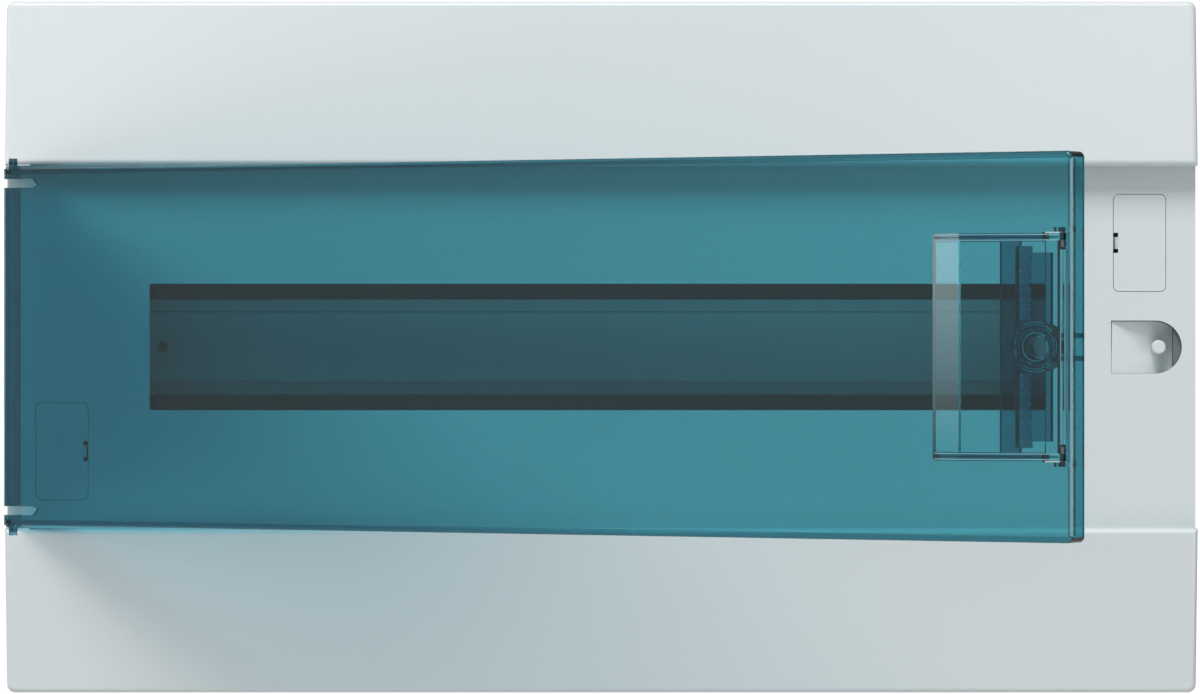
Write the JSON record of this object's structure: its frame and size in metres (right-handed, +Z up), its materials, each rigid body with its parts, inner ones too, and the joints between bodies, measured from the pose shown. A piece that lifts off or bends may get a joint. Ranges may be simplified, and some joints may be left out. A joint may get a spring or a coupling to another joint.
{
  "type": "surface-mounted distribution board enclosure",
  "caption": "wall-mounted weatherproof breaker box with a recessed band, a tinted clear door hinged at the left, a lever handle and a rail window",
  "frame": {"origin": "centre of the flat back face that lies on the wall", "axes": "X to the right and Z up as seen from the front, Y into the wall; the door faces -Y and is drawn 30 degrees open"},
  "size_m": [0.4304, 0.357, 0.25],
  "materials": {
    "grey_housing": "fine satin moulded",
    "tinted_clear": "clear tinted polycarbonate",
    "lock_plastic": "clear",
    "seal_foam": "closed-cell",
    "zinc_steel": "zinc plated",
    "spring_steel": "drawn wire",
    "pin_steel": "drawn",
    "support_plastic": "moulded",
    "screw_plastic": "moulded nylon",
    "bar_brass": "drawn",
    "clamp_steel": "zinc plated",
    "neutral_blue": "moulded",
    "earth_green": "moulded"
  },
  "bodies": {
    "case": {"base_box": "grey_housing", "front_cover": "grey_housing", "cover_gasket": "seal_foam", "wall_screw_plugs": "grey_housing", "din_rail": "zinc_steel", "rail_support_left": "support_plastic", "rail_support_right": "support_plastic", "rail_screws": "clamp_steel", "support_screws": "clamp_steel", "neutral_bar": "bar_brass", "neutral_bar_screws": "clamp_steel", "neutral_bar_holders": "neutral_blue", "earth_bar": "bar_brass", "earth_bar_screws": "clamp_steel", "earth_bar_holders": "earth_green", "holder_screws": "clamp_steel", "cover_screw_seals": "seal_foam"},
    "door": {"door": "tinted_clear", "lock_blank": "lock_plastic", "handle_pins": "pin_steel", "handle_springs": "spring_steel"},
    "handle": {"door_handle": "tinted_clear"},
    "screw_upper": {"cover_screw_upper": "screw_plastic"},
    "screw_lower": {"cover_screw_lower": "screw_plastic"},
    "cap_upper": {"screw_cap_upper": "grey_housing"},
    "cap_lower": {"screw_cap_lower": "grey_housing"}
  },
  "joints": [
    {"name": "door_hinge", "type": "hinge", "parent": "case", "child": "door", "pos_m": [-0.212, -0.1435, 0], "axis": [0, 0, -1], "range_deg": [-30, 120]},
    {"name": "handle_pull", "type": "hinge", "parent": "door", "child": "handle", "pos_m": [0.15098, -0.35399, 0], "axis": [0, 0, 1], "range_deg": [0, 12]},
    {"name": "cover_screw_turn_upper", "type": "hinge", "parent": "case", "child": "screw_upper", "pos_m": [0.1948, -0.1235, 0.0377], "axis": [0, -1, 0], "range_deg": [0, 90]},
    {"name": "cover_screw_turn_lower", "type": "hinge", "parent": "case", "child": "screw_lower", "pos_m": [-0.1948, -0.1235, -0.0377], "axis": [0, -1, 0], "range_deg": [0, 90]},
    {"name": "cap_lift_upper", "type": "slide", "parent": "case", "child": "cap_upper", "axis": [0, -1, 0], "range_m": [0, 0.01]},
    {"name": "cap_lift_lower", "type": "slide", "parent": "case", "child": "cap_lower", "axis": [0, -1, 0], "range_m": [0, 0.01]}
  ]
}
